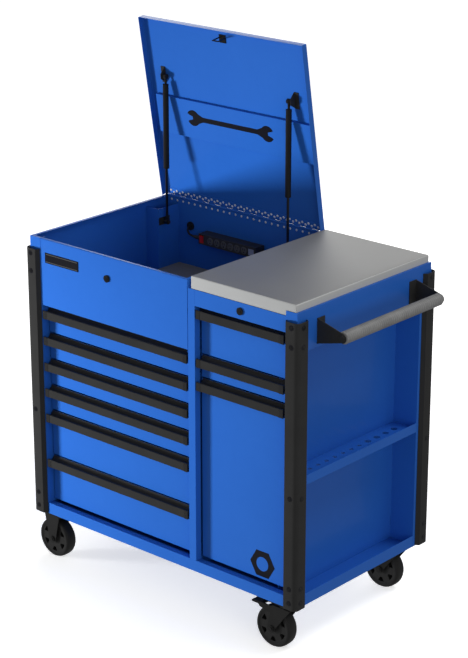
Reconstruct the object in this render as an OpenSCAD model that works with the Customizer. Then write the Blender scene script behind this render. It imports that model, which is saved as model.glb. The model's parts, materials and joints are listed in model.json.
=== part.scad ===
// Rolling tool chest: a drawer cabinet on casters with a lidded box over the left bay,
// a steel worktop over the right bay and an open shelf recess in the right side.

/* [Body] */
// Width of the painted body
body_w = 1041; // [1035:1:1050]
// Depth of the painted body
body_d = 606; // [604:1:612]
// Height of the top box rim above the body bottom
rim_h = 899; // [897:1:901]
// Thickness of the folded sheet
sheet = 1.5; // [1:0.1:2]
// Height of the bottom rail
rail_h = 36; // [34:1:38]
// Gap between the body bottom and the floor
floor_gap = 150; // [150:1:152]

/* [Lid] */
// Angle of the lid at rest, from shut
lid_angle = 80.5; // [78:0.5:82]
// Depth of the lid's folded lips
lid_lip = 22; // [20:1:22]

/* [Drawers] */
// Height of a drawer pull
pull_h = 25; // [22:1:26]
// How far a drawer pull stands forward of its drawer front
pull_d = 27; // [26:1:27]

/* [Running gear] */
// Radius of a caster wheel
wheel_r = 63.5; // [62:0.5:64]
// Width of a caster wheel
wheel_w = 38.4; // [36:0.4:39]

/* [Hidden] */
$fn = 48;

// Everything is laid out from the body's lower front left corner, then moved to the origin
handle_tip = 1146;
post_proud = 12;
rigid_x = 50;
origin_x = (handle_tip + rigid_x - wheel_r) / 2;
origin_y = body_d / 2;

// Left bay, right bay and the wall between them
jamb_x = 43;
bay_l_end = 641;
divider_x = 640;
bay_r_start = 666;
bay_r_end = 1000;
partition_x = 652;
box_end = 638;
recess_x = 956;
return_d = 22;
jamb_d = 40;
rail_y = 30;
column_y = 500;
inner_back_y = 594;
box_floor_z = 681;
front_z = 687;
gap_floor_z = 875;
column_face_l = 56;
column_face_r = 591;
column_top_z = 880;
slide_top_z = 676;

// Right side recess
recess_front = 48;
recess_back = 556;
recess_top = 772;
side_top = 890;
tray_z = 6;
shelf_z = 386;
shelf_lip = 402.6;

// Steel top
steel_x0 = 650;
steel_x1 = 1035;
steel_y0 = 2;
steel_y1 = 600;
steel_z = 912;
steel_front_lip = 36.5;
steel_side_lip = 21.5;
steel_step_x = 1003;

// Drawers: heights of the pulls' tops
left_pulls = [671.5, 587.5, 503.5, 419.5, 335.5, 185.5];
right_pulls = [816, 670.5, 599.5];
lowest_front = 45;
front_rise = 6;
front_gap = 10;
front_y = 25;
drawer_back = 560;
drawer_wall = 1.2;
rail_height = 36;
rim_hem = 10;
left_front_x = [46, 638];
left_box_x = [54, 628];
left_pull_x = [48, 634];
right_front_x = [669, 995];
right_box_x = [677, 943];
right_pull_x = [673, 993];
rail_gap = 1;

// Key locks
lock_box_x = 321;
lock_box_z = 832;
lock_drawers_x = 836;
lock_drawers_z = 850;
barrel_r = 9;

// Lid and its hinge line
hinge_y = 592;
hinge_z = 902;
lid_x0 = -3;
lid_x1 = 648.5;
lid_y0 = -2.5;
lid_top = 912;
lid_t = 1;
knuckle_r = 3.5;
knuckle_pitch = 24.6;
hinge_x0 = 15;
knuckles = 25;
pin_r = 1.5;
running_fit = 0.05;

// Gas struts: lid end at distance strut_s from the hinge line and strut_n inside it
strut_s = 410;
strut_n = 5;
strut_inset = 78;
strut_xs = [lid_x0 + strut_inset, lid_x1 - strut_inset];
strut_top_y = hinge_y - strut_s * cos(lid_angle) - strut_n * sin(lid_angle);
strut_top_z = hinge_z + strut_s * sin(lid_angle) - strut_n * cos(lid_angle);
strut_foot_z = 839;
cylinder_r = 9;
cylinder_len = 268;
cylinder_head = 24;
rod_r = 4;
rod_in_cylinder = 60;
bore_len = 240;
eye_r = 8;

// Handle
handle_axis_x = 1128;
handle_axis_z = 817;
grip_r = 18;
bracket_y = [83, 529];
bracket_z = [782, 856];
bracket_t = 3;
bolt_proud = 2.5;

// Casters: wheel centres
swivel_x = 991;
trail = 39.6;
caster_ys = [30, 538];
wheel_z = wheel_r - floor_gap;
axle_r = 5;
leg_gap = 21.2;
leg_t = 4;
plate_t = 3;
crown_z = -17;
pedal_x = 908;
pedal_z = -24;

// Power strip
strip_x0 = 178;
strip_x1 = 415;
strip_y0 = 552;
strip_z0 = 780;
strip_z1 = 814;
rocker_x = 191;
rocker_tilt = 7;

// Power lead, from the strip through the back to a coil on the floor
cord_r = 3.5;
coil_r = 38.5;
coil_turns = 3;
coil_x = 200;
coil_y = 713.5;
lead_floor_z = cord_r - floor_gap;
grommet_x = 108;
grommet_z = 815;
lead_route = [
    [153, 560, 797], [143, 560, 798], [130, 562, 801], [119, 568, 806], [111, 577, 811],
    [108, 588, 815], [108, 600, 815], [108, 614, 815], [108, 630, 811], [108, 644, 800],
    [108, 653, 784], [108, 657, 765], [108, 658, 740], [108, 659, 650], [108, 660, 550],
    [108, 661, 450], [108, 662, 350], [108, 662, 250], [108, 662, 150], [108, 662, 50],
    [108, 662, -30], [109, 662, -70], [112, 663, -100], [121, 666, -126], [136, 670, -141],
    [155, 673, -146.5], [177, 675, -146.5], [200, 675, -146.5]
];
lead_tail = [
    [200, 675, -125.5], [220, 675, -126], [240, 675, -129], [258, 675, -133], [272, 675, -135.5]
];
plug_x = 272;
plug_z = -135.5;

module placed() {
    translate([-origin_x, -origin_y, floor_gap]) children();
}

// A plain block between two opposite corners
module block(low, high) {
    translate(low) cube(high - low);
}

// Turns what is drawn on the shut lid to the lid's resting angle
module on_lid() {
    translate([0, hinge_y, hinge_z]) rotate([-lid_angle, 0, 0])
        translate([0, -hinge_y, -hinge_z]) children();
}

// A cylinder along Y from y0 to y1
module rod_y(x, z, r, y0, y1) {
    translate([x, y0, z]) rotate([-90, 0, 0]) cylinder(r = r, h = y1 - y0);
}

// A cylinder along X from x0 to x1
module rod_x(y, z, r, x0, x1) {
    translate([x0, y, z]) rotate([0, 90, 0]) cylinder(r = r, h = x1 - x0);
}

// A profile drawn in X and Z, extruded along Y
module slab_y(y0, y1) {
    translate([0, y1, 0]) rotate([90, 0, 0]) linear_extrude(y1 - y0) children();
}

// Fixed drawer rails, one channel for each drawer: the web stands at web_x and the
// flanges reach to edge_x
module fixed_rails(tops, web_x, edge_x) {
    web_t = web_x < edge_x ? 2 : -2;
    for (i = [0 : len(tops) - 1]) {
        low = front_bottom(tops, i) + 4;
        high = low + rail_height;
        block([min(web_x, web_x + web_t), rail_y, low], [max(web_x, web_x + web_t), inner_back_y, high]);
        block([min(web_x, edge_x), rail_y, low], [max(web_x, edge_x), inner_back_y, low + 2]);
        block([min(web_x, edge_x), rail_y, high - 2], [max(web_x, edge_x), inner_back_y, high]);
    }
}

// A folded upright: a wall across its front and one along its inner face
module upright(x_wall, x_face, z0, z1) {
    face_t = x_wall < x_face ? -sheet : sheet;
    block([min(x_wall, x_face), column_y, z0], [max(x_wall, x_face), column_y + sheet, z1]);
    block([min(x_face, x_face + face_t), column_y, z0], [max(x_face, x_face + face_t), inner_back_y, z1]);
}

function front_bottom(tops, i) =
    i + 1 < len(tops) ? tops[i + 1] + front_gap : lowest_front;

module left_side() {
    color("royalblue") placed() {
        block([0, 0, 0], [sheet, body_d, rim_h]);
        block([0, 0, rim_h - sheet], [rim_hem, body_d, rim_h]);
        block([0, 0, rim_h - sheet], [jamb_x, rim_hem, rim_h]);
        block([0, 0, rail_h], [jamb_x, sheet, rim_h]);
        block([jamb_x - sheet, 0, rail_h], [jamb_x, return_d, rim_h]);
        block([jamb_x - sheet, 0, rail_h], [jamb_x, jamb_d, slide_top_z]);
        upright(0, jamb_x, sheet, slide_top_z);
        upright(0, column_face_l, box_floor_z, column_top_z);
        fixed_rails(left_pulls, jamb_x - 1, left_box_x[0] - rail_gap);
    }
}

module right_side() {
    edge = body_w - sheet;
    color("royalblue") placed() {
        block([bay_r_end, 0, sheet], [body_w, sheet, side_top]);
        block([bay_r_end, 0, rail_h], [bay_r_end + sheet, return_d, gap_floor_z]);
        block([edge, 0, sheet], [body_w, recess_front, side_top]);
        block([edge, recess_back, sheet], [body_w, body_d - sheet, side_top]);
        block([edge, 0, recess_top], [body_w, body_d - sheet, side_top]);
        block([recess_x - sheet, recess_front - sheet, sheet], [body_w, recess_front, recess_top + sheet]);
        block([recess_x - sheet, recess_back, sheet], [body_w, recess_back + sheet, recess_top + sheet]);
        block([recess_x - sheet, recess_front, recess_top], [body_w, recess_back, recess_top + sheet]);
        block([recess_x - sheet, rail_y, sheet], [recess_x, inner_back_y, gap_floor_z - 8]);
        block([steel_x1 - 12, sheet, side_top - sheet], [body_w, body_d - sheet, side_top]);
        fixed_rails(right_pulls, recess_x - sheet, right_box_x[1] + rail_gap);
    }
}

module back_panel() {
    color("royalblue") placed() difference() {
        union() {
            block([sheet, body_d - sheet, sheet], [body_w, body_d, gap_floor_z]);
            block([sheet, body_d - sheet, sheet], [box_end, body_d, rim_h - sheet]);
            block([rim_hem, inner_back_y, rim_h - sheet], [box_end, body_d, rim_h]);
            block([sheet, inner_back_y, box_floor_z - 2], [box_end, inner_back_y + sheet, rim_h - sheet]);
            block([sheet, inner_back_y, box_floor_z - 2], [box_end, body_d, box_floor_z]);
        }
        rod_y(grommet_x, grommet_z, 10, inner_back_y - 2, body_d + 2);
    }
}

module base_pan() {
    color("royalblue") placed() {
        block([sheet, sheet, 0], [body_w, body_d, sheet]);
        block([jamb_x, 0, 0], [bay_r_end, sheet, rail_h]);
        block([jamb_x, 0, rail_h - sheet], [bay_r_end, return_d, rail_h]);
        block([jamb_x, return_d - sheet, 0], [bay_r_end, return_d, rail_h]);
        block([body_w - sheet, recess_front, 0], [body_w, recess_back, rail_h]);
        block([recess_x, recess_front, 0], [body_w - sheet, recess_back, tray_z]);
    }
}

module divider() {
    back = inner_back_y;
    color("royalblue") placed() {
        block([divider_x, 0, rail_h], [bay_r_start, sheet, gap_floor_z]);
        block([divider_x, 0, rail_h], [bay_l_end, jamb_d, slide_top_z]);
        block([bay_r_start - sheet, 0, rail_h], [bay_r_start, return_d, gap_floor_z]);
        block([partition_x, sheet, rail_h], [partition_x + sheet, back, gap_floor_z]);
        block([partition_x, return_d, sheet], [partition_x + sheet, back, rail_h]);
        block([box_end - sheet, sheet, gap_floor_z - sheet], [bay_r_start, back, gap_floor_z]);
        block([box_end - sheet, sheet, box_floor_z], [box_end, back, rim_h]);
        block([box_end - rim_hem, rim_hem, rim_h - sheet], [box_end, back, rim_h]);
        upright(box_end - 1, column_face_r, box_floor_z, column_top_z);
        fixed_rails(left_pulls, partition_x, left_box_x[1] + rail_gap);
        fixed_rails(right_pulls, partition_x + sheet, right_box_x[0] - rail_gap);
    }
}

module right_header() {
    header_z = 827;
    color("royalblue") placed() difference() {
        union() {
            block([bay_r_start, 0, header_z], [bay_r_end, sheet, gap_floor_z]);
            block([bay_r_start, 0, header_z], [bay_r_end, return_d, header_z + sheet]);
            block([bay_r_start, 0, gap_floor_z - sheet], [bay_r_end, return_d, gap_floor_z]);
        }
        rod_y(lock_drawers_x, lock_drawers_z, barrel_r + running_fit, -sheet, 2 * sheet);
    }
}

module box_front() {
    color("royalblue") placed() difference() {
        union() {
            block([jamb_x, 0, front_z], [box_end, sheet, rim_h]);
            block([jamb_x, 0, rim_h - sheet], [box_end - sheet, rim_hem, rim_h]);
            block([jamb_x, 0, front_z], [box_end - sheet, return_d, front_z + sheet]);
        }
        rod_y(lock_box_x, lock_box_z, barrel_r + running_fit, -sheet, 2 * sheet);
    }
}

module box_floor() {
    color("royalblue") placed()
        block([sheet, return_d, box_floor_z - 2], [partition_x, inner_back_y, box_floor_z]);
}

module box_mat() {
    mat_t = 3;
    color("dimgray") placed()
        block([column_face_l, return_d + 1, box_floor_z], [column_face_r, inner_back_y, box_floor_z + mat_t]);
}

module steel_top() {
    front_bottom_z = steel_z - steel_front_lip;
    side_bottom_z = steel_z - steel_side_lip;
    color("lightgray") placed() {
        block([steel_x0, steel_y0, steel_z - sheet], [steel_x1, steel_y1, steel_z]);
        block([steel_x0, steel_y0, front_bottom_z], [steel_step_x, steel_y0 + sheet, steel_z]);
        block([steel_step_x, steel_y0, side_bottom_z], [steel_x1, steel_y0 + sheet, steel_z]);
        block([steel_x0, steel_y0, front_bottom_z], [steel_x0 + sheet, steel_y1, steel_z]);
        block([steel_x1 - sheet, steel_y0, side_bottom_z], [steel_x1, steel_y1, steel_z]);
        block([steel_x0, steel_y1 - sheet, front_bottom_z], [steel_step_x, steel_y1, steel_z]);
    }
}

function arc_points(cx, cy, r, a0, a1, steps) =
    [for (i = [0 : steps]) let(a = a0 + (a1 - a0) * i / steps) [cx + r * cos(a), cy + r * sin(a)]];

// Corner guard section: an L around the body's corner with a bevelled edge on each leg
module post_section() {
    leg = 41;
    bevel = 9;
    outer_r = 16;
    wall = 2.5;
    c = outer_r - post_proud;
    polygon(concat(
        [[leg, 0], [leg - bevel, -post_proud]],
        arc_points(c, c, outer_r, 270, 180, 8),
        [[-post_proud, leg - bevel], [0, leg], [0, leg - wall - 1]],
        [[wall - post_proud, leg - bevel - 1]],
        arc_points(c, c, outer_r - wall, 180, 270, 8),
        [[leg - bevel - 1, wall - post_proud], [leg - wall - 1, 0]]
    ));
}

module corner_posts() {
    post_z0 = 2;
    post_z1 = 864;
    color("dimgray") placed() {
        for (side = [0, 1]) {
            for (rear = [0, 1]) {
                translate([side * body_w, rear * body_d, post_z0])
                    mirror([side, 0, 0]) mirror([0, rear, 0])
                        linear_extrude(post_z1 - post_z0) post_section();
            }
        }
    }
}

module side_shelf() {
    hole_x = 994;
    small_pitch = 37.47;
    small_y = 81.3;
    large_ys = [384.6, 426, 468, 510];
    color("royalblue") placed() {
        difference() {
            block([recess_x, recess_front, shelf_z - sheet], [body_w - 1, recess_back, shelf_z]);
            for (i = [0 : 7]) {
                translate([hole_x, small_y + i * small_pitch, shelf_z - 4]) cylinder(r = 6.5, h = 8);
            }
            for (y = large_ys) {
                translate([hole_x, y, shelf_z - 4]) cylinder(r = 10, h = 8);
            }
        }
        block([body_w - sheet, recess_front, shelf_z - 12], [body_w, recess_back, shelf_lip]);
    }
}

module handle_bracket(y0) {
    end_r = 14;
    bolt_r = 9;
    slab_y(y0, y0 + bracket_t) polygon(concat(
        [[body_w, bracket_z[1]], [body_w, bracket_z[0]]],
        arc_points(handle_axis_x, handle_axis_z, end_r, -100, 76, 10)
    ));
    rod_y(handle_axis_x, handle_axis_z, bolt_r, y0 - bolt_proud, y0 + bracket_t + bolt_proud);
}

module handle_brackets() {
    flange = 29;
    front_inner = bracket_y[0] + bracket_t + flange;
    rear_inner = bracket_y[1] - flange;
    color("dimgray") placed() {
        for (y0 = bracket_y) {
            handle_bracket(y0);
        }
        block([body_w, bracket_y[0], bracket_z[0]], [body_w + bracket_t, front_inner, bracket_z[1]]);
        block([body_w, rear_inner, bracket_z[0]],
              [body_w + bracket_t, bracket_y[1] + bracket_t, bracket_z[1]]);
    }
}

module handle_bar() {
    y0 = bracket_y[0] + bracket_t + bolt_proud;
    color("gray") placed() rod_y(handle_axis_x, handle_axis_z, grip_r, y0, bracket_y[1] - bolt_proud);
}

module hinge_knuckle(i, bore) {
    x0 = hinge_x0 + i * knuckle_pitch;
    difference() {
        rod_x(hinge_y, hinge_z, knuckle_r, x0 + 0.2, x0 + knuckle_pitch - 0.2);
        if (bore) {
            rod_x(hinge_y, hinge_z, pin_r + running_fit, x0 - 1, x0 + knuckle_pitch + 1);
        }
    }
}

module hinge_fixed_leaf() {
    leaf_t = 1.2;
    leaf_low = 882;
    leaf_high = 898;
    hinge_x1 = hinge_x0 + knuckles * knuckle_pitch;
    color("royalblue") placed() {
        block([hinge_x0, inner_back_y - leaf_t, leaf_low], [hinge_x1, inner_back_y, leaf_high]);
        for (i = [0 : 2 : knuckles - 1]) {
            x0 = hinge_x0 + i * knuckle_pitch;
            hinge_knuckle(i, false);
            block([x0 + 0.2, inner_back_y - leaf_t, leaf_high],
                  [x0 + knuckle_pitch - 0.2, inner_back_y, hinge_z]);
        }
        rod_x(hinge_y, hinge_z, pin_r, hinge_x0, hinge_x1);
    }
}

module hinge_lid_leaf() {
    leaf_t = 1.2;
    leaf_reach = 22;
    leaf_z = lid_top - lid_t;
    hinge_x1 = hinge_x0 + knuckles * knuckle_pitch;
    color("royalblue") placed() on_lid() {
        block([hinge_x0, hinge_y - leaf_reach, leaf_z - leaf_t], [hinge_x1, hinge_y - 1, leaf_z]);
        for (i = [1 : 2 : knuckles - 2]) {
            x0 = hinge_x0 + i * knuckle_pitch;
            hinge_knuckle(i, true);
            block([x0 + 0.2, hinge_y - knuckle_r, hinge_z],
                  [x0 + knuckle_pitch - 0.2, hinge_y - knuckle_r + leaf_t, leaf_z]);
        }
    }
}

module lid_panel() {
    lid_y1 = hinge_y + 1;
    lip_z = lid_top - lid_lip;
    color("royalblue") placed() on_lid() {
        block([lid_x0, lid_y0, lid_top - lid_t], [lid_x1, lid_y1, lid_top]);
        block([lid_x0, lid_y0, lip_z], [lid_x1, lid_y0 + lid_t, lid_top]);
        block([lid_x0, lid_y0, lip_z], [lid_x0 + lid_t, lid_y1, lid_top]);
        block([lid_x1 - lid_t, lid_y0, lip_z], [lid_x1, lid_y1, lid_top]);
    }
}

module lid_stiffener() {
    near_y = hinge_y - 343;
    far_y = hinge_y - 219;
    proud = 10;
    x0 = 18;
    x1 = 638;
    under = lid_top - lid_t;
    color("royalblue") placed() on_lid() {
        block([x0, near_y, under - proud], [x1, far_y, under - proud + lid_t]);
        block([x0, near_y, under - proud], [x1, near_y + lid_t, under]);
        block([x0, far_y - lid_t, under - proud], [x1, far_y, under]);
        block([x0, near_y, under - proud], [x0 + lid_t, far_y, under]);
    }
}

module lid_striker() {
    half_w = 13;
    leg_w = 4;
    drop = 34;
    plate_y = 24;
    under = lid_top - lid_t;
    x = lock_box_x;
    color("silver") placed() on_lid() {
        block([x - half_w, plate_y - 8, under - 2], [x + half_w, plate_y + 18, under]);
        block([x - half_w, plate_y, under - drop], [x - half_w + leg_w, plate_y + 3, under]);
        block([x + half_w - leg_w, plate_y, under - drop], [x + half_w, plate_y + 3, under]);
        block([x - half_w, plate_y, under - drop], [x + half_w, plate_y + 3, under - drop + leg_w]);
    }
}

// Diamond bracket that stands off the lid and carries the strut's upper stud
module strut_bracket(x, out) {
    under = lid_top - lid_t;
    pivot_y = hinge_y - strut_s;
    pivot_z = hinge_z - strut_n;
    plate_x = x - out * 12;
    stud_end = x - out * (eye_r - 2.5);
    translate([plate_x - 1, 0, 0]) rotate([90, 0, 90]) linear_extrude(2)
        polygon([[pivot_y - 26, under], [pivot_y - 8, pivot_z - 9],
                 [pivot_y + 8, pivot_z - 9], [pivot_y + 26, under]]);
    block([min(plate_x, plate_x - out * 16), pivot_y - 26, under - 2],
          [max(plate_x, plate_x - out * 16), pivot_y + 26, under]);
    rod_x(pivot_y, pivot_z, 4.5, min(plate_x, stud_end), max(plate_x, stud_end));
}

module lid_strut_brackets() {
    color("black") placed() on_lid() {
        strut_bracket(strut_xs[0], 1);
        strut_bracket(strut_xs[1], -1);
    }
}

// Wall plate and pin that carry the strut's lower eye
module strut_stud(x, face, out) {
    wall_t = 2;
    pin_end = x + out * 6.5;
    head_end = x + out * 9;
    block([min(face, face + out * wall_t), strut_top_y - 18, strut_foot_z - 12],
          [max(face, face + out * wall_t), strut_top_y + 30, strut_foot_z + 12]);
    rod_x(strut_top_y, strut_foot_z, rod_r, min(face, pin_end), max(face, pin_end));
    rod_x(strut_top_y, strut_foot_z, 6, min(pin_end, head_end), max(pin_end, head_end));
}

module box_strut_studs() {
    color("black") placed() {
        strut_stud(strut_xs[0], column_face_l, 1);
        strut_stud(strut_xs[1], column_face_r, -1);
    }
}

module strut_cylinder(x) {
    top = strut_top_z - cylinder_head;
    color("dimgray") placed() difference() {
        union() {
            rod_x(strut_top_y, strut_top_z, eye_r, x - 5, x + 5);
            translate([x, strut_top_y, top - 2]) cylinder(r = 4, h = cylinder_head);
            translate([x, strut_top_y, top - cylinder_len]) cylinder(r = cylinder_r, h = cylinder_len);
        }
        translate([x, strut_top_y, top - cylinder_len - 1]) cylinder(r = rod_r + running_fit, h = bore_len);
    }
}

module strut_cylinder_left() { strut_cylinder(strut_xs[0]); }
module strut_cylinder_right() { strut_cylinder(strut_xs[1]); }

module strut_rod(x) {
    rod_top = strut_top_z - cylinder_head - cylinder_len + rod_in_cylinder;
    color("silver") placed() difference() {
        union() {
            rod_x(strut_top_y, strut_foot_z, eye_r, x - 5, x + 5);
            translate([x, strut_top_y, strut_foot_z + 5])
                cylinder(r = rod_r, h = rod_top - strut_foot_z - 5);
        }
        rod_x(strut_top_y, strut_foot_z, rod_r + running_fit, x - 6, x + 6);
    }
}

module strut_rod_left() { strut_rod(strut_xs[0]); }
module strut_rod_right() { strut_rod(strut_xs[1]); }

// A key barrel with a flange outside and a cam behind
module key_lock(x, z) {
    rod_y(x, z, 11, -3.5, -0.3);
    rod_y(x, z, barrel_r, -0.3, 19);
    block([x - 6, 16, z - 5], [x + 20, 18, z + 5]);
}

module lock_box() {
    color("black") placed() key_lock(lock_box_x, lock_box_z);
}

module lock_drawers() {
    color("black") placed() key_lock(lock_drawers_x, lock_drawers_z);
}

module power_strip() {
    relief_x = lead_route[0][0];
    relief_y = lead_route[0][1];
    relief_z = lead_route[0][2];
    color("dimgray") placed() {
        difference() {
            block([strip_x0, strip_y0, strip_z0], [strip_x1, inner_back_y, strip_z1]);
            block([rocker_x - 8, strip_y0 - 1, strip_z0 + 4], [rocker_x + 8, strip_y0 + 12, strip_z1 - 4]);
        }
        translate([strip_x0 + 1, relief_y, relief_z]) rotate([0, -90, 0])
            cylinder(r1 = 8, r2 = 5, h = strip_x0 + 1 - relief_x);
    }
}

module strip_rocker() {
    mid_z = (strip_z0 + strip_z1) / 2;
    pivot_y = strip_y0 + 4;
    color("red") placed() {
        translate([rocker_x, pivot_y, mid_z]) rotate([rocker_tilt, 0, 0])
            block([-7, -5.5, -11.5], [7, 3, 11.5]);
        rod_x(pivot_y, mid_z, 1.5, rocker_x - 7.6, rocker_x + 7.6);
    }
}

module cord_grommet() {
    bore_r = 4.2;
    color("black") placed() difference() {
        union() {
            rod_y(grommet_x, grommet_z, 10 - running_fit, inner_back_y - 1, body_d + 1);
            rod_y(grommet_x, grommet_z, 14, inner_back_y - 4, inner_back_y);
            rod_y(grommet_x, grommet_z, 14, body_d, body_d + 4);
        }
        rod_y(grommet_x, grommet_z, bore_r, inner_back_y - 6, body_d + 6);
    }
}

function curve_point(p, i, t) =
    let(
        a = p[max(i - 1, 0)],
        b = p[i],
        c = p[i + 1],
        d = p[min(i + 2, len(p) - 1)]
    )
    0.5 * (2 * b + (c - a) * t + (2 * a - 5 * b + 4 * c - d) * t * t
        + (3 * b - a - 3 * c + d) * t * t * t);

function smooth_route(p) = concat(
    [for (i = [0 : len(p) - 2])
        let(n = max(1, round(norm(p[i + 1] - p[i]) / 20)))
            for (j = [0 : n - 1]) curve_point(p, i, j / n)],
    [p[len(p) - 1]]
);

function unit(v) = v / norm(v);

// A tube of eight sides swept along a route
module lead_tube(route, sides) {
    path = smooth_route(route);
    n = len(path);
    directions = [for (i = [0 : n - 1]) unit(path[min(i + 1, n - 1)] - path[max(i - 1, 0)])];
    rings = [for (i = [0 : n - 1])
        let(
            d = directions[i],
            side = unit(cross(d, abs(d[1]) < 0.8 ? [0, 1, 0] : [1, 0, 0])),
            up = cross(side, d)
        )
        for (k = [0 : sides - 1])
            path[i] + cord_r * (cos(360 * k / sides) * side + sin(360 * k / sides) * up)];
    walls = [for (i = [0 : n - 2]) for (k = [0 : sides - 1])
        [i * sides + k, i * sides + (k + 1) % sides,
         (i + 1) * sides + (k + 1) % sides, (i + 1) * sides + k]];
    first_cap = [for (k = [sides - 1 : -1 : 0]) k];
    last_cap = [for (k = [0 : sides - 1]) (n - 1) * sides + k];
    polyhedron(points = rings, faces = concat(walls, [first_cap, last_cap]), convexity = 8);
}

module power_cord() {
    color("black") placed() {
        lead_tube(lead_route, 8);
        lead_tube(lead_tail, 8);
    }
}

module cord_coil() {
    coil_h = (coil_turns + 1) * 2 * cord_r;
    color("black") placed()
        translate([coil_x, coil_y, -floor_gap]) rotate_extrude()
            translate([coil_r - cord_r, 0]) square([2 * cord_r, coil_h]);
}

module cord_plug() {
    body_len = 26;
    blade_len = 18;
    relief_len = 24;
    body_x = plug_x + relief_len;
    color("black") placed() {
        translate([plug_x, 675, plug_z]) rotate([0, 90, 0]) cylinder(r1 = 4.5, r2 = 7, h = relief_len);
        block([body_x, 661, plug_z - 13], [body_x + body_len, 689, plug_z + 10]);
        for (y = [668, 682]) {
            block([body_x + body_len, y - 0.8, plug_z - 4],
                  [body_x + body_len + blade_len, y + 0.8, plug_z + 3]);
        }
    }
}

// An open tray with a front that overhangs its box on both sides
module drawer(tops, i, front_x, box_x) {
    z0 = front_bottom(tops, i);
    z1 = tops[i] + front_rise;
    box_z0 = z0 + 3;
    box_z1 = z1 - 8;
    w = drawer_wall;
    color("royalblue") placed() {
        block([front_x[0], front_y, z0], [front_x[1], front_y + 2, z1]);
        block([box_x[0], front_y + 1, box_z0], [box_x[1], drawer_back, box_z0 + w]);
        block([box_x[0], front_y + 1, box_z0], [box_x[0] + w, drawer_back, box_z1]);
        block([box_x[1] - w, front_y + 1, box_z0], [box_x[1], drawer_back, box_z1]);
        block([box_x[0], drawer_back - w, box_z0], [box_x[1], drawer_back, box_z1]);
    }
}

module left_drawer_1() { drawer(left_pulls, 0, left_front_x, left_box_x); }
module left_drawer_2() { drawer(left_pulls, 1, left_front_x, left_box_x); }
module left_drawer_3() { drawer(left_pulls, 2, left_front_x, left_box_x); }
module left_drawer_4() { drawer(left_pulls, 3, left_front_x, left_box_x); }
module left_drawer_5() { drawer(left_pulls, 4, left_front_x, left_box_x); }
module left_drawer_6() { drawer(left_pulls, 5, left_front_x, left_box_x); }
module right_drawer_1() { drawer(right_pulls, 0, right_front_x, right_box_x); }
module right_drawer_2() { drawer(right_pulls, 1, right_front_x, right_box_x); }
module right_drawer_3() { drawer(right_pulls, 2, right_front_x, right_box_x); }

// Pull section with its lip at height 0: a rounded lip in front of a scoop for the fingers
module pull_section() {
    lip_r = 2.5;
    front = front_y - pull_d;
    well_y = front + 8;
    well_z = -9;
    polygon(concat(
        [[front_y, -pull_h], [front, -pull_h]],
        arc_points(front + lip_r, -lip_r, lip_r, 180, 0, 8),
        [for (t = [30 : 30 : 90]) [well_y - 3 * cos(t), well_z + 6 - 6 * sin(t)]],
        [for (t = [15 : 15 : 90])
            [well_y + (front_y - well_y) * sin(t), front_rise - (front_rise - well_z) * cos(t)]]
    ));
}

module pull(tops, i, pull_x) {
    color("black") placed()
        translate([pull_x[0], 0, tops[i]]) rotate([90, 0, 90]) linear_extrude(pull_x[1] - pull_x[0])
            pull_section();
}

module left_pull_1() { pull(left_pulls, 0, left_pull_x); }
module left_pull_2() { pull(left_pulls, 1, left_pull_x); }
module left_pull_3() { pull(left_pulls, 2, left_pull_x); }
module left_pull_4() { pull(left_pulls, 3, left_pull_x); }
module left_pull_5() { pull(left_pulls, 4, left_pull_x); }
module left_pull_6() { pull(left_pulls, 5, left_pull_x); }
module right_pull_1() { pull(right_pulls, 0, right_pull_x); }
module right_pull_2() { pull(right_pulls, 1, right_pull_x); }
module right_pull_3() { pull(right_pulls, 2, right_pull_x); }

module axle(x, y) {
    reach = leg_gap + leg_t;
    rod_y(x, wheel_z, axle_r, y - reach - 6, y + reach + 6);
    rod_y(x, wheel_z, 9, y - reach - 4, y - reach);
    rod_y(x, wheel_z, 9, y + reach, y + reach + 4);
}

// Two tapered fork legs from a crown at crown_x down to the axle at wheel_x
module fork_legs(crown_x, wheel_x, y, top_z) {
    half_w = 32;
    foot_r = 15;
    for (side = [-1, 1]) {
        y0 = side > 0 ? y + leg_gap : y - leg_gap - leg_t;
        slab_y(y0, y0 + leg_t) polygon(concat(
            [[crown_x + half_w, top_z], [crown_x - half_w, top_z]],
            arc_points(wheel_x, wheel_z, foot_r, 170, 370, 10)
        ));
    }
}

module caster_plates() {
    race_r = 24;
    plate_x = 46;
    plate_y = 30;
    color("silver") placed() {
        for (y = caster_ys) {
            block([rigid_x - plate_x, y - plate_y, -plate_t], [rigid_x + plate_x, y + plate_y, 0]);
            fork_legs(rigid_x, rigid_x, y, -plate_t + 1);
            axle(rigid_x, y);
            block([swivel_x - plate_x, y - plate_y, -plate_t], [swivel_x + plate_x, y + plate_y, 0]);
            translate([swivel_x, y, -12]) cylinder(r = race_r, h = 10);
        }
    }
}

module swivel_fork(y) {
    wheel_x = swivel_x - trail;
    reach = leg_gap + leg_t;
    crown_t = 4.6;
    color("silver") placed() {
        fork_legs(swivel_x - 6, wheel_x, y, crown_z + 1);
        block([swivel_x - 38, y - reach, crown_z], [swivel_x + 26, y + reach, crown_z + crown_t]);
        for (side = [-1, 1]) {
            y0 = side > 0 ? y + leg_gap : y - leg_gap - leg_t;
            slab_y(y0, y0 + leg_t)
                polygon([[swivel_x - 30, crown_z], [pedal_x, crown_z], [pedal_x - 8, -24], [pedal_x, -32],
                         [swivel_x - 42, -40]]);
        }
        rod_y(pedal_x, pedal_z, 3, y - reach, y + reach);
        axle(wheel_x, y);
    }
}

module swivel_fork_front() { swivel_fork(caster_ys[0]); }
module swivel_fork_rear() { swivel_fork(caster_ys[1]); }

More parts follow.
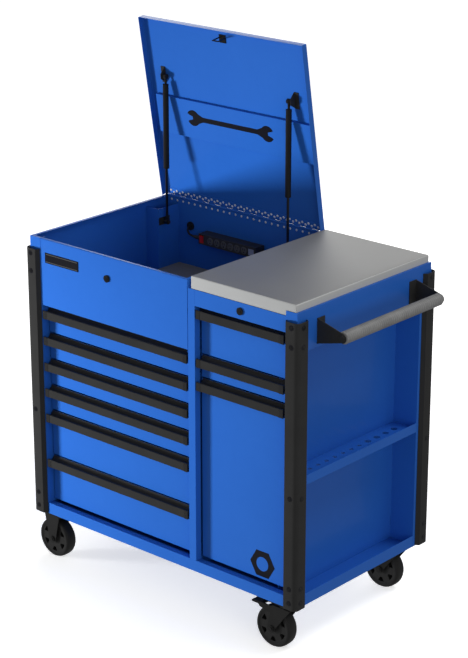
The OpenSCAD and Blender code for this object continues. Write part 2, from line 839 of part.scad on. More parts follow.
module wheel(x, y) {
    tyre_edge = 4;
    dish = 3;
    hub_r = 14;
    rim_r = 48;
    half = wheel_w / 2;
    color("black") placed() translate([x, y, wheel_z]) rotate([90, 0, 0]) rotate_extrude() polygon(concat(
        [[axle_r + running_fit, -half], [hub_r, -half], [hub_r + 2, dish - half]],
        [[rim_r - 2, dish - half], [rim_r, -half]],
        arc_points(wheel_r - tyre_edge, tyre_edge - half, tyre_edge, -90, 0, 4),
        arc_points(wheel_r - tyre_edge, half - tyre_edge, tyre_edge, 0, 90, 4),
        [[rim_r, half], [rim_r - 2, half - dish]],
        [[hub_r + 2, half - dish], [hub_r, half], [axle_r + running_fit, half]]
    ));
}

module wheel_left_front() { wheel(rigid_x, caster_ys[0]); }
module wheel_left_rear() { wheel(rigid_x, caster_ys[1]); }
module wheel_right_front() { wheel(swivel_x - trail, caster_ys[0]); }
module wheel_right_rear() { wheel(swivel_x - trail, caster_ys[1]); }

// A foot lever that presses on the wheel, on a pin between the fork's tails
module brake_pedal(y) {
    color("dimgray") placed() difference() {
        union() {
            rod_y(pedal_x, pedal_z, 6, y - 20, y + 20);
            slab_y(y - 20, y + 20)
                polygon([[pedal_x, pedal_z + 4], [pedal_x - 34, pedal_z + 2], [pedal_x - 36, pedal_z - 2],
                         [pedal_x - 34, pedal_z - 4], [pedal_x, pedal_z - 4]]);
        }
        rod_y(pedal_x, pedal_z, 3 + running_fit, y - 21, y + 21);
    }
}

module brake_pedal_front() { brake_pedal(caster_ys[0]); }
module brake_pedal_rear() { brake_pedal(caster_ys[1]); }

left_side();
right_side();
back_panel();
base_pan();
divider();
right_header();
box_front();
box_floor();
box_mat();
steel_top();
corner_posts();
side_shelf();
handle_brackets();
handle_bar();
hinge_fixed_leaf();
hinge_lid_leaf();
lid_panel();
lid_stiffener();
lid_striker();
lid_strut_brackets();
box_strut_studs();
strut_cylinder_left();
strut_cylinder_right();
strut_rod_left();
strut_rod_right();
lock_box();
lock_drawers();
power_strip();
strip_rocker();
cord_grommet();
power_cord();
cord_coil();
cord_plug();
left_drawer_1();
left_drawer_2();
left_drawer_3();
left_drawer_4();
left_drawer_5();
left_drawer_6();
right_drawer_1();
right_drawer_2();
right_drawer_3();
left_pull_1();
left_pull_2();
left_pull_3();
left_pull_4();
left_pull_5();
left_pull_6();
right_pull_1();
right_pull_2();
right_pull_3();
caster_plates();
swivel_fork_front();
swivel_fork_rear();
wheel_left_front();
wheel_left_rear();
wheel_right_front();
wheel_right_rear();
brake_pedal_front();
brake_pedal_rear();
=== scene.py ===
# %% [markdown]
# # A rolling tool chest
# The chest is a painted steel cabinet on four casters. Its left bay carries a lidded box, its
# right bay a stainless worktop, and its right side an open recess with a shelf. The measured
# model comes first as a fixed frame, and every piece made here is placed from it, in metres.

# %% Load the frame
import json
import math

import bmesh
import bpy
from mathutils import Matrix, Vector


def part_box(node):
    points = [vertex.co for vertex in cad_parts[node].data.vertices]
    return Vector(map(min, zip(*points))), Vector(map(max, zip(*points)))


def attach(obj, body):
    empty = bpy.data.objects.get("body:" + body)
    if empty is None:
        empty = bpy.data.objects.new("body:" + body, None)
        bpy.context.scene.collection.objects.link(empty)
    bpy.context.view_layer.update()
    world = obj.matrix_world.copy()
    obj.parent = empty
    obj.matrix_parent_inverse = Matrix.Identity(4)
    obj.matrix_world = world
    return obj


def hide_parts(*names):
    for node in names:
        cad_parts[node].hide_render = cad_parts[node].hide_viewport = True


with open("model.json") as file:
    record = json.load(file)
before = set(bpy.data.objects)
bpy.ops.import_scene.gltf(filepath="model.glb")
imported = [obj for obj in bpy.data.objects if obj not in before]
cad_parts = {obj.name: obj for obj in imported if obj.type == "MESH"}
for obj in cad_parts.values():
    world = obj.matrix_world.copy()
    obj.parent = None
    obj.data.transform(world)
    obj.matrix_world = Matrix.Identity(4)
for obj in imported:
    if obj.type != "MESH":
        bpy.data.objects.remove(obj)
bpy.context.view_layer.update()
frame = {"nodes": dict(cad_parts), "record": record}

record = frame["record"]

# %% [markdown]
# The workshop drawing of a cabinet counts in millimetres from one corner of its body. The left
# side wall starts at that corner, so its box gives the corner's place in the frame.

# %% Millimetres from the body's corner
MM = 0.001
CORNER = Vector(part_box("left_side")[0])


def at(x, y, z):
    return CORNER + Vector((x, y, z)) * MM


body_high = Vector(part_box("right_side")[1])
body_width = (body_high.x - CORNER.x) / MM
print("body is", round(body_width), "mm wide and starts at", tuple(round(v, 3) for v in CORNER))

# %% [markdown]
# A long lens far away keeps the chest's upright lines nearly parallel. The camera stands in
# front and to the right, a little above the lid, and looks slightly down.

# %% Camera
SENSOR = 36.0
LENS = 113.6
YAW = 41.37
PITCH = 19.67
CAMERA_PLACE = (4388.1, -4058.9, 2726.4)
camera_data = bpy.data.cameras.new("camera")
camera_data.sensor_width = SENSOR
camera_data.lens = LENS
camera = bpy.data.objects.new("camera", camera_data)
bpy.context.scene.collection.objects.link(camera)
camera.location = at(*CAMERA_PLACE)
camera.rotation_euler = (math.radians(90 - PITCH), 0, math.radians(YAW))
bpy.context.scene.camera = camera
bpy.context.scene.view_settings.view_transform = "Standard"
print("camera at", tuple(round(v, 2) for v in camera.location))

# %% [markdown]
# The power strip in the box has a mains lead. It goes out through a grommet in the back, down
# behind the chest to the floor, and lies there in a small round coil with its plug beside it.
# A cable hangs in smooth curves, so a few points are joined by a Catmull-Rom curve, which goes
# through each of them.

# %% Route of the lead
LEAD_RADIUS = 3.5
COIL_RADIUS = 38.5
COIL_TURNS = 3
COIL_X = 200
COIL_Y = 713.5
FLOOR_Z = -150
LEAD_DOWN = [
    (153, 560, 797), (143, 560, 798), (130, 562, 801), (119, 568, 806), (111, 577, 811),
    (108, 588, 815), (108, 600, 815), (108, 614, 815), (108, 630, 811), (108, 644, 800),
    (108, 653, 784), (108, 657, 765), (108, 658, 740), (108, 659, 650), (108, 660, 550),
    (108, 661, 450), (108, 662, 350), (108, 662, 250), (108, 662, 150), (108, 662, 50),
    (108, 662, -30), (109, 662, -70), (112, 663, -100), (121, 666, -126), (136, 670, -141),
    (155, 673, -146.5), (177, 675, -146.5), (200, 675, -146.5),
]
LEAD_END = [
    (200, 675, -125.5), (220, 675, -126), (240, 675, -129), (258, 675, -133),
    (272, 675, -135.5),
]


def smooth_route(points, step=8):
    """Points about every `step` mm on the curve through all the given ones."""
    rows = [Vector(p) for p in points]
    out = []
    for i in range(len(rows) - 1):
        a, b = rows[max(i - 1, 0)], rows[i]
        c, d = rows[i + 1], rows[min(i + 2, len(rows) - 1)]
        pieces = max(2, round((c - b).length / step))
        for j in range(pieces):
            t = j / pieces
            out.append(0.5 * (2 * b + (c - a) * t + (2 * a - 5 * b + 4 * c - d) * t * t
                              + (3 * b - a - 3 * c + d) * t ** 3))
    return out + [rows[-1]]


POINTS_PER_TURN = 48
coil = []
for k in range(1, COIL_TURNS * POINTS_PER_TURN):
    angle = math.tau * k / POINTS_PER_TURN - math.pi / 2
    rise = 2 * LEAD_RADIUS * k / POINTS_PER_TURN
    coil.append(Vector((COIL_X + COIL_RADIUS * math.cos(angle),
                        COIL_Y + COIL_RADIUS * math.sin(angle),
                        FLOOR_Z + LEAD_RADIUS + rise)))
lead_route = [at(*p) for p in smooth_route(LEAD_DOWN) + coil + smooth_route(LEAD_END)]

# %% [markdown]
# A curve with a round bevel is a cable of even thickness. Its points are already close
# together, so a plain poly spline is enough, and the tube is kept as a mesh.

# %% The lead itself
lead_curve = bpy.data.curves.new("mains_lead", "CURVE")
lead_curve.dimensions = "3D"
lead_curve.bevel_depth = LEAD_RADIUS * MM
lead_curve.bevel_resolution = 4
lead_curve.use_fill_caps = True
lead_spline = lead_curve.splines.new("POLY")
lead_spline.points.add(len(lead_route) - 1)
for spot, point in zip(lead_spline.points, lead_route):
    spot.co = (*point, 1)
curve_holder = bpy.data.objects.new("lead_curve", lead_curve)
mains_lead = bpy.data.objects.new("mains_lead", bpy.data.meshes.new_from_object(curve_holder))
bpy.data.objects.remove(curve_holder)
bpy.context.scene.collection.objects.link(mains_lead)
mains_lead.data.shade_smooth()
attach(mains_lead, "cabinet")
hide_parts("power_cord", "cord_coil")

# %% [markdown]
# Surface patterns are sums over noise and position. A small class wraps a node's socket, so
# that `grain * 0.2 + 0.3` adds the Math nodes by itself.

# %% Shader arithmetic
class Value:
    def __init__(self, finish, socket):
        self.finish = finish
        self.socket = socket

    def maths(self, operation, first, second):
        return self.finish.node("ShaderNodeMath", {"operation": operation}, {0: first, 1: second})

    def __add__(self, other):
        return self.maths("ADD", self, other)

    def __mul__(self, other):
        return self.maths("MULTIPLY", self, other)

    __radd__ = __add__
    __rmul__ = __mul__


# %% [markdown]
# A finish is one material: a Principled shader, the numbers that are the same all over it,
# and the few sockets that change from place to place.

# %% Finish
class Finish:
    def __init__(self, name, **constants):
        self.material = bpy.data.materials.new(name)
        self.material.use_nodes = True
        self.tree = self.material.node_tree
        self.shader = self.tree.nodes["Principled BSDF"]
        for socket, value in constants.items():
            self.shader.inputs[socket.replace("_", " ")].default_value = value
        self.place = self.node("ShaderNodeTexCoord", out="Object")

    def node(self, kind, settings=None, inputs=None, out=0):
        made = self.tree.nodes.new(kind)
        for key, value in (settings or {}).items():
            setattr(made, key, value)
        for key, value in (inputs or {}).items():
            if isinstance(value, Value):
                self.tree.links.new(value.socket, made.inputs[key])
            else:
                made.inputs[key].default_value = value
        return Value(self, made.outputs[out])

    def stretched(self, scale):
        return self.node("ShaderNodeMapping", inputs={"Vector": self.place, "Scale": scale})

    def noise(self, scale, detail=3, place=None):
        return self.node("ShaderNodeTexNoise",
                         inputs={"Vector": place or self.place, "Scale": scale,
                                 "Detail": detail})

    def between(self, factor, dark, light):
        """A colour from dark to light; sockets 0, 6, 7 are the factor and the two colours."""
        return self.node("ShaderNodeMix", {"data_type": "RGBA"},
                         {0: factor, 6: (*dark, 1), 7: (*light, 1)}, out=2)

    def feed(self, socket, value):
        self.tree.links.new(value.socket, self.shader.inputs[socket])

    def bump(self, height, strength, depth):
        self.feed("Normal", self.node("ShaderNodeBump",
                                      inputs={"Height": height, "Strength": strength,
                                              "Distance": depth}))


# %% [markdown]
# The body has a glossy enamel baked on after folding. Sprayed paint dries with a faint orange
# peel, a bump a few millimetres wide, and its gloss and colour are never quite even.

# %% Blue enamel
def enamel(name, deep, bright, rough=0.28):
    paint = Finish(name, Specular_IOR_Level=0.16, Coat_Weight=0.1, Coat_Roughness=0.08)
    drift = paint.noise(3.0)
    peel = paint.noise(260.0, 2)
    fine = paint.noise(45.0, 4)
    paint.feed("Base Color", paint.between(drift * 0.7 + fine * 0.3, deep, bright))
    paint.feed("Roughness", drift * 0.08 + fine * 0.06 + rough)
    paint.bump(peel, 0.06, 0.0004)
    return paint.material


DEEP_BLUE = (0.019, 0.118, 0.50)
BRIGHT_BLUE = (0.026, 0.144, 0.58)
blue_paint = enamel("blue_enamel", DEEP_BLUE, BRIGHT_BLUE)
lid_paint = enamel("lid_enamel", DEEP_BLUE, BRIGHT_BLUE, 0.24)
print("made", blue_paint.name, "and", lid_paint.name)

# %% [markdown]
# The corner guards, pulls and brackets have a textured powder coat: a matt charcoal with a
# grain of half a millimetre, rubbed a little lighter in patches.

# %% Powder coat
def powder(name, dark, light, rough, grain=1400.0, relief=0.35):
    coat = Finish(name, Specular_IOR_Level=0.24)
    speckle = coat.noise(grain, 2)
    rubbed = coat.noise(14.0, 5)
    coat.feed("Base Color", coat.between(rubbed * 0.6 + speckle * 0.4, dark, light))
    coat.feed("Roughness", speckle * 0.16 + rubbed * 0.1 + rough)
    coat.bump(speckle, relief, 0.0003)
    return coat.material


post_coat = powder("charcoal_powder_coat", (0.019, 0.019, 0.019), (0.037, 0.037, 0.037), 0.42)
pull_coat = powder("pull_coat", (0.017, 0.017, 0.017), (0.036, 0.036, 0.036), 0.26, 900.0, 0.2)
part_coat = powder("small_part_coat", (0.008, 0.008, 0.009), (0.018, 0.018, 0.019), 0.3)
caster_coat = powder("caster_coat", (0.008, 0.008, 0.008), (0.022, 0.022, 0.022), 0.32, 700.0, 0.2)

# %% [markdown]
# The worktop is stainless sheet with a brushed grain that runs front to back. Its folded lips
# are the same steel painted lighter, a painted highlight for the light they catch from the
# front, with the grain from side to side. Grain is noise squeezed along one axis, fed to
# roughness and bump, with wide soft clouds where the polish varies. Plated steel is made the
# same way, mostly with an even grain.

# %% Brushed and plated steel
def brushed(name, dark, light, rough, stretch, relief=0.12, metallic=1.0):
    steel = Finish(name, Metallic=metallic)
    grain = steel.noise(1.0, 5, steel.stretched(stretch))
    clouds = steel.noise(6.0, 4)
    steel.feed("Base Color", steel.between(grain * 0.5 + clouds * 0.5, dark, light))
    steel.feed("Roughness", grain * 0.16 + clouds * 0.1 + rough)
    steel.bump(grain, relief, 0.0002)
    return steel.material


worktop_steel = brushed("worktop_stainless", (0.23, 0.23, 0.225), (0.34, 0.34, 0.335), 0.44,
                        (900, 14, 900), metallic=0.3)
# The lips' steel is painted lighter than the top's: a painted highlight for the light from the
# front.
lip_steel_painted_highlight = brushed("worktop_lip_painted_highlight", (0.50, 0.51, 0.51), (0.64, 0.65, 0.65), 0.4,
                    (14, 900, 900), metallic=0.3)
zinc_plate = brushed("zinc_plate", (0.70, 0.73, 0.78), (0.88, 0.90, 0.94), 0.2, (60, 60, 60),
                     metallic=0.35)
black_zinc = brushed("black_zinc", (0.05, 0.05, 0.05), (0.09, 0.09, 0.09), 0.32, (80, 80, 80))
rod_steel = brushed("polished_rod", (0.05, 0.05, 0.05), (0.09, 0.09, 0.09), 0.2, (200, 200, 8))

# %% [markdown]
# Rubber and plastic differ mostly in gloss. The mat is dull and closely dimpled, the tyres
# are smooth with a scuffed tread, and the plug and strip are lightly grained plastic.

# %% Rubber and plastic
def moulded(name, dark, light, rough, grain, relief, specular=0.4):
    stuff = Finish(name, Specular_IOR_Level=specular)
    dimple = stuff.noise(grain, 3)
    scuff = stuff.noise(30.0, 5)
    stuff.feed("Base Color", stuff.between(scuff * 0.65 + dimple * 0.35, dark, light))
    stuff.feed("Roughness", scuff * 0.15 + dimple * 0.1 + rough)
    stuff.bump(dimple, relief, 0.0004)
    return stuff.material


mat_rubber = moulded("mat_rubber", (0.20, 0.20, 0.195), (0.30, 0.30, 0.29), 0.6, 700, 0.4, 0.3)
tyre_rubber = moulded("tyre_rubber", (0.008, 0.008, 0.008), (0.020, 0.020, 0.020), 0.36, 420, 0.15)
hub_plastic = moulded("hub_plastic", (0.010, 0.010, 0.010), (0.022, 0.022, 0.022), 0.28, 500, 0.1)
grip_rubber = moulded("grip_rubber", (0.12, 0.12, 0.12), (0.36, 0.36, 0.36), 0.34, 520, 0.4)
strip_plastic = moulded("strip_plastic", (0.022, 0.022, 0.023), (0.042, 0.042, 0.043), 0.34, 800,
                        0.15)
cord_plastic = moulded("cord_plastic", (0.010, 0.010, 0.010), (0.018, 0.018, 0.018), 0.4, 500, 0.1)
outlet_plastic = moulded("outlet_plastic", (0.07, 0.07, 0.07), (0.11, 0.11, 0.11), 0.2, 400,
                         0.05, 0.5)
red_plastic = moulded("rocker_red", (0.42, 0.008, 0.006), (0.60, 0.014, 0.010), 0.2, 400,
                      0.05, 0.5)
# Near-black: print on the decals and badge, and painted shade on the screw recesses, outlet slots
# and keyways.
ink_and_hole_shade = moulded("decal_ink_and_hole_shade", (0.004, 0.004, 0.007), (0.008, 0.008, 0.012), 0.3, 900, 0.03)
label_foil = brushed("label_foil", (0.5, 0.5, 0.5), (0.75, 0.75, 0.75), 0.3, (200, 10, 200))
mains_lead.data.materials.append(cord_plastic)

# %% [markdown]
# Most of the chest is folded sheet whose shape the measured model already has. A real fold
# or cut edge is never sharp, and its small round catches the light as a thin line. Each such
# piece is copied, its triangles are merged back to flat faces, and a narrow bevel is added.

# %% Helpers for pieces
FINISHES = {
    "blue_paint": blue_paint, "black_trim": post_coat, "worktop_steel": worktop_steel,
    "zinc": black_zinc, "caster_black": caster_coat, "mat_rubber": mat_rubber,
    "grip_rubber": grip_rubber,
    "strut_black": part_coat, "strut_rod": rod_steel, "lock_black": part_coat,
    "strip_plastic": strip_plastic, "rocker_red": red_plastic, "cord_black": cord_plastic,
    "plug_black": strip_plastic, "wheel_black": tyre_rubber, "pedal_black": part_coat,
    "pull_black": pull_coat,
}
SHARP_ANGLE = 35
MERGE_DISTANCE = 1e-6
FLAT_ANGLE = math.radians(1)
NODE_SLOT = {s["node"]: s["material_slot"] for s in record["subparts"]}
NODE_BODY = {n: b for b, ns in record["behaviour"]["bodies"].items() for n in ns}


def place(name, bm, body, slot, finish=None, smooth=SHARP_ANGLE):
    """Makes a bmesh into a finished piece that rides on a body."""
    mesh = bpy.data.meshes.new(name)
    bm.to_mesh(mesh)
    bm.free()
    piece = bpy.data.objects.new(name, mesh)
    bpy.context.scene.collection.objects.link(piece)
    mesh.materials.append(finish or FINISHES[slot])
    mesh.shade_smooth()
    mesh.set_sharp_from_angle(angle=math.radians(smooth))
    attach(piece, body)
    return piece


def rounded(piece, width):
    """A live bevel on the sharper edges, width in mm."""
    soft = piece.modifiers.new("soft_edges", "BEVEL")
    soft.width = width * MM
    soft.segments = 2
    soft.profile = 0.5
    soft.limit_method = "ANGLE"
    soft.angle_limit = math.radians(SHARP_ANGLE)
    soft.harden_normals = False


def merged(node):
    """A measured node's mesh with its triangles joined back to flat faces."""
    bm = bmesh.new()
    bm.from_mesh(frame["nodes"][node].data)
    bmesh.ops.remove_doubles(bm, verts=bm.verts, dist=MERGE_DISTANCE)
    bmesh.ops.dissolve_limit(bm, angle_limit=FLAT_ANGLE, verts=bm.verts, edges=bm.edges)
    return bm


def softened(node, width):
    """A merged copy of a measured node with a small round on its edges."""
    piece = place(node + "_soft", merged(node), NODE_BODY[node], NODE_SLOT[node])
    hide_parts(node)
    rounded(piece, width)


# %% [markdown]
# Every node first gets its finish on its own slots, so nothing is left in a flat colour.
# Then the folded sheet pieces are replaced by their softened copies.

# %% Finishes on the measured nodes
for node, thing in frame["nodes"].items():
    thing.data.materials.clear()
    thing.data.materials.append(FINISHES[NODE_SLOT[node]])
SHEET_ROUND = 0.55
GUARD_ROUND = 0.9
SHEET_NODES = ["left_side", "right_side", "back_panel", "base_pan", "divider", "right_header",
               "side_shelf", "lid_stiffener", "lid_striker"]
GUARD_NODES = ["corner_posts", "handle_brackets", "power_strip"]
DRAWER_NODES = [node for node in NODE_SLOT if "_drawer_" in node]
for node in SHEET_NODES:
    softened(node, SHEET_ROUND)
for node in GUARD_NODES:
    softened(node, GUARD_ROUND)
for node in DRAWER_NODES:
    softened(node, SHEET_ROUND)
print("softened", len(SHEET_NODES + GUARD_NODES + DRAWER_NODES), "nodes")

# %% [markdown]
# A hemmed edge is a fold with a radius of a few millimetres. It is drawn as one line of
# vertices, extruded along the piece, its bends rounded with an edge bevel, and given its
# sheet thickness last.

# %% Folded sheet
def new_verts(made):
    """The vertices among what an operator made."""
    return [g for g in made["geom"] if isinstance(g, bmesh.types.BMVert)]


def round_folds(bm, folds, radius, segments=5):
    """Turns sharp folds of a sheet into bends of a radius in mm."""
    bmesh.ops.bevel(bm, geom=folds, offset=radius * MM, offset_type="OFFSET", segments=segments,
                    affect="EDGES", profile=0.5, material=-1)


def folded(line, start, end, bend, thickness):
    """A sheet folded along a line of (y, z) points and run along X from start to end, in mm."""
    bm = bmesh.new()
    verts = [bm.verts.new(at(start, y, z)) for y, z in line]
    edges = [bm.edges.new(pair) for pair in zip(verts, verts[1:])]
    made = bmesh.ops.extrude_edge_only(bm, edges=edges)
    bmesh.ops.translate(bm, verts=new_verts(made), vec=at(end, 0, 0) - at(start, 0, 0))
    round_folds(bm, [e for e in bm.edges if len(e.link_faces) == 2], bend)
    bmesh.ops.recalc_face_normals(bm, faces=bm.faces)
    bmesh.ops.solidify(bm, geom=bm.faces[:], thickness=thickness * MM)
    bmesh.ops.recalc_face_normals(bm, faces=bm.faces)
    return bm


# %% [markdown]
# The box's front wall turns over at the top into a hem 10 mm deep, and its bottom edge turns
# in above the first drawer. The top fold shows as the bright line along the rim.

# %% Box front
FRONT_X0, FRONT_X1 = 44.4, 638
FRONT_Y = 0.1
FRONT_SECTION = [(22, 688), (FRONT_Y, 688), (FRONT_Y, 899), (10, 899)]
FRONT_BEND = 3
FRONT_SHEET = 1.4
box_wall = folded(FRONT_SECTION, FRONT_X0, FRONT_X1, FRONT_BEND, FRONT_SHEET)
front = place("box_front_wall", box_wall, "cabinet", "blue_paint")
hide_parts("box_front")
low, high = (Vector(v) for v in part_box("box_front"))
print("front wall:", [round(v, 3) for v in front.dimensions],
      "node:", [round(v, 3) for v in high - low])

# %% [markdown]
# The lid is one sheet with a lip folded down on three sides. A box without its bottom and its
# rear face is that shape; its outer edges are rounded, and Solidify gives the wall.

# %% Lid
LID_TURN = math.radians(-80.5)
HINGE_Y, HINGE_Z = 592, 902
LID_LOW, LID_HIGH = (-3, -2.5, 890), (648.5, 593, 912)
LID_BEND = 3
LID_SHEET = 1
hinge_point = at(0, HINGE_Y, HINGE_Z)
OPEN = (Matrix.Translation(hinge_point) @ Matrix.Rotation(LID_TURN, 4, "X")
        @ Matrix.Translation(-hinge_point))


def brick(bm, low, high):
    """A block between two corners, in mm; gives its vertices."""
    a, b = at(*low), at(*high)
    made = bmesh.ops.create_cube(bm, size=1.0)["verts"]
    bmesh.ops.scale(bm, vec=b - a, verts=made)
    bmesh.ops.translate(bm, vec=(a + b) / 2, verts=made)
    return made


def facing(bm, axis, sign):
    """The faces that look along an axis, 0 to 2, one way or the other."""
    bm.normal_update()
    return [f for f in bm.faces if f.normal[axis] * sign > 0.9]


lid = bmesh.new()
brick(lid, LID_LOW, LID_HIGH)
bmesh.ops.delete(lid, geom=facing(lid, 2, -1) + facing(lid, 1, 1), context="FACES_ONLY")
round_folds(lid, [e for e in lid.edges if len(e.link_faces) == 2], LID_BEND, 4)
bmesh.ops.delete(lid, geom=[v for v in lid.verts if not v.link_faces], context="VERTS")
bmesh.ops.solidify(lid, geom=lid.faces[:], thickness=LID_SHEET * MM)
bmesh.ops.transform(lid, matrix=OPEN, verts=lid.verts)
bmesh.ops.recalc_face_normals(lid, faces=lid.faces)
lid_sheet = place("lid_sheet", lid, "lid", "blue_paint", lid_paint)
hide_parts("lid_panel")
print("lid:", [round(v, 3) for v in lid_sheet.dimensions])

# %% [markdown]
# The worktop is folded the same way, but its front and back lips step up by 15 mm over the
# recess. The box is cut at the step with bisect_plane, and the lower edge beyond it raised.
# Whatever doesn't look up or down takes the lips' finish, painted lighter as a highlight.

# %% Worktop
TOP_LOW, TOP_HIGH = (650, 2, 875.5), (1035, 600, 912)
STEP_X = 1003
STEP_WIDTH = 0.6
STEP_RISE = 15
TOP_BEND = 3.5
TOP_SHEET = 1.5
LEVEL_NORMAL = 0.9
top = bmesh.new()
brick(top, TOP_LOW, TOP_HIGH)
bmesh.ops.delete(top, geom=facing(top, 2, -1), context="FACES_ONLY")
for cut in (STEP_X, STEP_X + STEP_WIDTH):
    bmesh.ops.bisect_plane(top, geom=top.verts[:] + top.edges[:] + top.faces[:],
                           plane_co=at(cut, 0, 0), plane_no=(1, 0, 0))
lip_middle = at(0, 0, (TOP_LOW[2] + TOP_HIGH[2]) / 2).z
step = at(STEP_X + STEP_WIDTH / 2, 0, 0).x
raised = [v for v in top.verts if v.co.x > step and v.co.z < lip_middle]
bmesh.ops.translate(top, verts=raised, vec=(0, 0, STEP_RISE * MM))
top_folds = [e for e in top.edges if len(e.link_faces) == 2 and e.calc_face_angle(0) > 1]
round_folds(top, top_folds, TOP_BEND)
bmesh.ops.recalc_face_normals(top, faces=top.faces)
bmesh.ops.solidify(top, geom=top.faces[:], thickness=TOP_SHEET * MM)
bmesh.ops.recalc_face_normals(top, faces=top.faces)
worktop = place("worktop_sheet", top, "cabinet", "worktop_steel")
# The upright faces get the lighter lip steel, a painted highlight.
worktop.data.materials.append(lip_steel_painted_highlight)
for face in worktop.data.polygons:
    face.material_index = int(abs(face.normal.z) < LEVEL_NORMAL)
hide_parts("steel_top")
print("worktop:", [round(v, 3) for v in worktop.dimensions])

# %% [markdown]
# A drawer pull is an extruded aluminium section, coated, with a moulded cap on each end. The
# measured node has the section, so it is softened, and the caps are made from its own end
# face: the face is copied, pushed out and bevelled.

# %% Pulls and their end caps
CAP = 15
CAP_PROUD = 1.2
PULL_ROUND = 0.8
CAP_ROUND = 0.9
END_SLACK = 1e-4


def end_cap(node, side):
    """A cap over one end of a pull: side is 0 for its left end, 1 for its right."""
    bm = merged(node)
    edge_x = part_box(node)[side][0]
    others = [v for v in bm.verts if abs(v.co.x - edge_x) > END_SLACK]
    bmesh.ops.delete(bm, geom=others, context="VERTS")
    middle = sum((v.co for v in bm.verts), Vector()) / len(bm.verts)
    reach = 1 if side else -1
    for v in bm.verts:
        v.co.y += math.copysign(CAP_PROUD, v.co.y - middle.y) * MM * 0.5
        v.co.z += math.copysign(CAP_PROUD, v.co.z - middle.z) * MM * 0.5
        v.co.x += reach * CAP_PROUD * MM
    made = bmesh.ops.extrude_face_region(bm, geom=bm.faces[:])
    bmesh.ops.translate(bm, verts=new_verts(made), vec=(-reach * CAP * MM, 0, 0))
    bmesh.ops.recalc_face_normals(bm, faces=bm.faces)
    return bm


cap_plastic = moulded("cap_plastic", (0.010, 0.010, 0.011), (0.020, 0.020, 0.021), 0.16, 500,
                      0.05, 0.5)
for node in NODE_SLOT:
    if "_pull_" in node:
        softened(node, PULL_ROUND)
        for side, word in ((0, "left"), (1, "right")):
            cap = place(f"{node}_cap_{word}", end_cap(node, side), NODE_BODY[node], "pull_black",
                        cap_plastic)
            rounded(cap, CAP_ROUND)
print("pulls done")

# %% [markdown]
# Five screws hold each face of a corner guard. Each sits in a countersunk recess, drawn as a
# near-black low cone that stands a little proud: painted shade for the recess. On it sits a
# six-sided head. Both are drawn by one function and gathered into two meshes.

# %% Guard screws
SCREW_Z = [849, 793, 346, 68, 24]
BODY_D = 606
GUARD_PROUD = 12
GUARD_IN = 12


def disc(bm, here, low_radius, high_radius, depth, sides=24):
    """A low closed cone about a matrix's own Z axis, sizes in mm."""
    bmesh.ops.create_cone(bm, cap_ends=True, segments=sides, radius1=low_radius * MM,
                          radius2=high_radius * MM, depth=depth * MM, matrix=here)


def raised_by(turn, rise):
    """A turn after a shift of some mm along Z."""
    return turn @ Matrix.Translation((0, 0, rise * MM))


def screw(recess_shade_discs, heads, spot, turn):
    """A near-black disc, painted shade for the countersunk recess, a little proud, and on it a
    smaller six-sided head.
    """
    here = Matrix.Translation(spot) @ turn
    disc(recess_shade_discs, raised_by(here, 0.35), 8.4, 7.4, depth=0.9, sides=28)
    disc(heads, raised_by(here, 0.9), 5.0, 3.6, depth=2.0, sides=6)


FACING_FRONT = Matrix.Rotation(math.radians(90), 4, "X")
FACING_BACK = Matrix.Rotation(math.radians(-90), 4, "X")
FACING_LEFT = Matrix.Rotation(math.radians(-90), 4, "Y")
FACING_RIGHT = Matrix.Rotation(math.radians(90), 4, "Y")
recess_shade_discs = bmesh.new()
screws = bmesh.new()
for z in SCREW_Z:
    for wall, turn in ((-GUARD_PROUD, FACING_LEFT), (body_width + GUARD_PROUD, FACING_RIGHT)):
        for y in (GUARD_IN, BODY_D - GUARD_IN):
            screw(recess_shade_discs, screws, at(wall, y, z), turn)
    for x in (GUARD_IN, body_width - GUARD_IN):
        screw(recess_shade_discs, screws, at(x, -GUARD_PROUD, z), FACING_FRONT)
        screw(recess_shade_discs, screws, at(x, BODY_D + GUARD_PROUD, z), FACING_BACK)
screw_black = brushed("screw_black", (0.05, 0.05, 0.05), (0.09, 0.09, 0.09), 0.3, (90, 90, 90))
place("guard_screws", screws, "cabinet", "black_trim", screw_black)
# The near-black discs are painted shade for the screws' countersunk recesses.
place("guard_recess_shade", recess_shade_discs, "cabinet", "black_trim", ink_and_hole_shade)
print("guard screws at", len(SCREW_Z), "heights")

# %% [markdown]
# The push handle has a soft grip with close ribs round it. Its half section is a wavy line,
# and one full spin about the grip's axis makes the sleeve.

# %% Ribbed grip
grip_low, grip_high = (Vector(v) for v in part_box("handle_bar"))
grip_axis = (grip_low + grip_high) / 2
GRIP_R = (grip_high.z - grip_low.z) / 2
RIB_PITCH = 8.4 * MM
RIB_DEPTH = 2.4 * MM
INNER_R = 4 * MM
RIB_SHAPE = ((0.0, RIB_DEPTH), (0.25, 0), (0.6, 0), (0.85, RIB_DEPTH))
grip = bmesh.new()
ribs = int((grip_high.y - grip_low.y) / RIB_PITCH)
line = [(grip_low.y, INNER_R)]
for k in range(ribs):
    y0 = grip_low.y + k * RIB_PITCH
    for part, drop in RIB_SHAPE:
        line.append((y0 + part * RIB_PITCH, GRIP_R - drop))
line += [(grip_high.y, GRIP_R - RIB_DEPTH), (grip_high.y, INNER_R)]
row = [grip.verts.new((grip_axis.x, y, grip_axis.z + r)) for y, r in line]
row_edges = [grip.edges.new(pair) for pair in zip(row, row[1:])]
bmesh.ops.spin(grip, geom=row + row_edges, cent=grip_axis, axis=(0, 1, 0),
               angle=math.tau, steps=40, use_merge=True)
bmesh.ops.recalc_face_normals(grip, faces=grip.faces)
sleeve = place("handle_grip", grip, "cabinet", "grip_rubber", smooth=60)
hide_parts("handle_bar")
print("grip:", ribs, "ribs")

